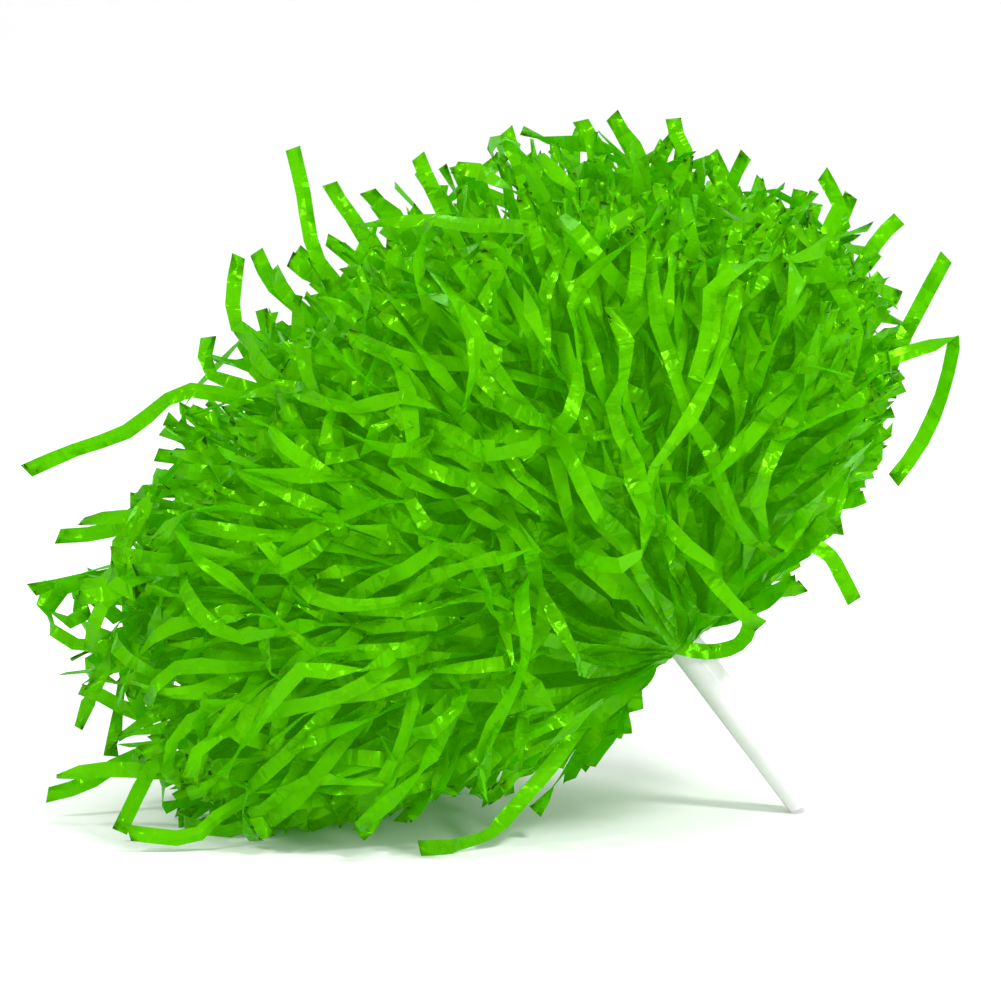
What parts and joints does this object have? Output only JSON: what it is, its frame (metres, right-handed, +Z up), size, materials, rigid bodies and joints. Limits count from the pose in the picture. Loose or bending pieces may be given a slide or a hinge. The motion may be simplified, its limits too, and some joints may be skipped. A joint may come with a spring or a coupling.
{
  "type": "cheer pom pom",
  "caption": "Hand-held cheer pom pom: slit plastic film streamers in tufts, bound to the top of a plain round stick handle, lying on its stick and lowest tuft.",
  "frame": {"origin": "bottom centre of the bounding box, on the surface that the pom lies on", "axes": "+Z up, +X towards the stick's free end, +Y to the back; the stick lies in the XZ plane and rises 53 degrees from the surface towards -X"},
  "size_m": [0.3558, 0.3274, 0.288],
  "materials": {
    "white_stick": "glossy white extruded plastic tube",
    "white_plug": "moulded white plastic plug",
    "film_heading": "tightly rolled glossy green plastic film",
    "film_streamers": "thin glossy lime green plastic film, slit and crinkled",
    "clear_tape": "milky clear adhesive tape, several turns",
    "staple_wire": "galvanised steel wire"
  },
  "bodies": {
    "handle": {"handle_tube": "white_stick", "handle_end_plug": "white_plug", "core_heading": "film_heading", "inner_heading": "film_heading", "outer_heading": "film_heading", "binding_tape": "clear_tape", "staples": "staple_wire"},
    "core_tuft": {"core_tuft": "film_streamers"},
    "inner_tuft_1": {"inner_tuft_1": "film_streamers"},
    "inner_tuft_2": {"inner_tuft_2": "film_streamers"},
    "inner_tuft_3": {"inner_tuft_3": "film_streamers"},
    "inner_tuft_4": {"inner_tuft_4": "film_streamers"},
    "inner_tuft_5": {"inner_tuft_5": "film_streamers"},
    "inner_tuft_6": {"inner_tuft_6": "film_streamers"},
    "outer_tuft_1": {"outer_tuft_1": "film_streamers"},
    "outer_tuft_2": {"outer_tuft_2": "film_streamers"},
    "outer_tuft_3": {"outer_tuft_3": "film_streamers"},
    "outer_tuft_4": {"outer_tuft_4": "film_streamers"},
    "outer_tuft_5": {"outer_tuft_5": "film_streamers"},
    "outer_tuft_6": {"outer_tuft_6": "film_streamers"},
    "outer_tuft_7": {"outer_tuft_7": "film_streamers"},
    "outer_tuft_8": {"outer_tuft_8": "film_streamers"}
  },
  "joints": [
    {"name": "core_bend", "type": "hinge", "parent": "handle", "child": "core_tuft", "pos_m": [0.06762, 0, 0.09577], "axis": [0, -1, 0], "range_deg": [-8, 8], "stiffness_Nm_per_rad": 0.5, "springref_deg": -0.9},
    {"name": "inner_1_bend", "type": "hinge", "parent": "handle", "child": "inner_tuft_1", "pos_m": [0.06416, 0, 0.0869], "axis": [0, -1, 0], "range_deg": [-5, 15], "stiffness_Nm_per_rad": 0.5, "springref_deg": -1.07},
    {"name": "inner_2_bend", "type": "hinge", "parent": "handle", "child": "inner_tuft_2", "pos_m": [0.0674, -0.00702, 0.08934], "axis": [0.6916, -0.5, 0.5212], "range_deg": [-5, 15], "stiffness_Nm_per_rad": 0.5, "springref_deg": -0.69},
    {"name": "inner_3_bend", "type": "hinge", "parent": "handle", "child": "inner_tuft_3", "pos_m": [0.07387, -0.00702, 0.09421], "axis": [0.6916, 0.5, 0.5212], "range_deg": [-5, 15], "stiffness_Nm_per_rad": 0.5, "springref_deg": -0.11},
    {"name": "inner_4_bend", "type": "hinge", "parent": "handle", "child": "inner_tuft_4", "pos_m": [0.0771, 0, 0.09665], "axis": [0, 1, 0], "range_deg": [-5, 15], "stiffness_Nm_per_rad": 0.5, "springref_deg": 0.11},
    {"name": "inner_5_bend", "type": "hinge", "parent": "handle", "child": "inner_tuft_5", "pos_m": [0.07387, 0.00702, 0.09421], "axis": [-0.6916, 0.5, -0.5212], "range_deg": [-5, 15], "stiffness_Nm_per_rad": 0.5, "springref_deg": -0.11},
    {"name": "inner_6_bend", "type": "hinge", "parent": "handle", "child": "inner_tuft_6", "pos_m": [0.0674, 0.00702, 0.08934], "axis": [-0.6916, -0.5, -0.5212], "range_deg": [-5, 15], "stiffness_Nm_per_rad": 0.5, "springref_deg": -0.69},
    {"name": "outer_1_bend", "type": "hinge", "parent": "handle", "child": "outer_tuft_1", "pos_m": [0.06225, 0, 0.08546], "axis": [0, -1, 0], "range_deg": [-6, 15], "stiffness_Nm_per_rad": 3, "springref_deg": 1.38},
    {"name": "outer_2_bend", "type": "hinge", "parent": "handle", "child": "outer_tuft_2", "pos_m": [0.0647, -0.00743, 0.08731], "axis": [0.5647, -0.7071, 0.4255], "range_deg": [-6, 15], "stiffness_Nm_per_rad": 0.5, "springref_deg": -0.97},
    {"name": "outer_3_bend", "type": "hinge", "parent": "handle", "child": "outer_tuft_3", "pos_m": [0.07063, -0.0105, 0.09177], "axis": [0.7986, 0, 0.6018], "range_deg": [-6, 15], "stiffness_Nm_per_rad": 0.5, "springref_deg": -0.1},
    {"name": "outer_4_bend", "type": "hinge", "parent": "handle", "child": "outer_tuft_4", "pos_m": [0.07656, -0.00743, 0.09624], "axis": [0.5647, 0.7071, 0.4255], "range_deg": [-6, 15], "stiffness_Nm_per_rad": 0.5, "springref_deg": -0.2},
    {"name": "outer_5_bend", "type": "hinge", "parent": "handle", "child": "outer_tuft_5", "pos_m": [0.07902, 0, 0.09809], "axis": [0, 1, 0], "range_deg": [-6, 15], "stiffness_Nm_per_rad": 0.5, "springref_deg": -0.5},
    {"name": "outer_6_bend", "type": "hinge", "parent": "handle", "child": "outer_tuft_6", "pos_m": [0.07656, 0.00743, 0.09624], "axis": [-0.5647, 0.7071, -0.4255], "range_deg": [-6, 15], "stiffness_Nm_per_rad": 0.5, "springref_deg": -0.2},
    {"name": "outer_7_bend", "type": "hinge", "parent": "handle", "child": "outer_tuft_7", "pos_m": [0.07063, 0.0105, 0.09177], "axis": [-0.7986, 0, -0.6018], "range_deg": [-6, 15], "stiffness_Nm_per_rad": 0.5, "springref_deg": -0.1},
    {"name": "outer_8_bend", "type": "hinge", "parent": "handle", "child": "outer_tuft_8", "pos_m": [0.0647, 0.00743, 0.08731], "axis": [-0.5647, -0.7071, -0.4255], "range_deg": [-6, 15], "stiffness_Nm_per_rad": 0.5, "springref_deg": -0.97}
  ]
}
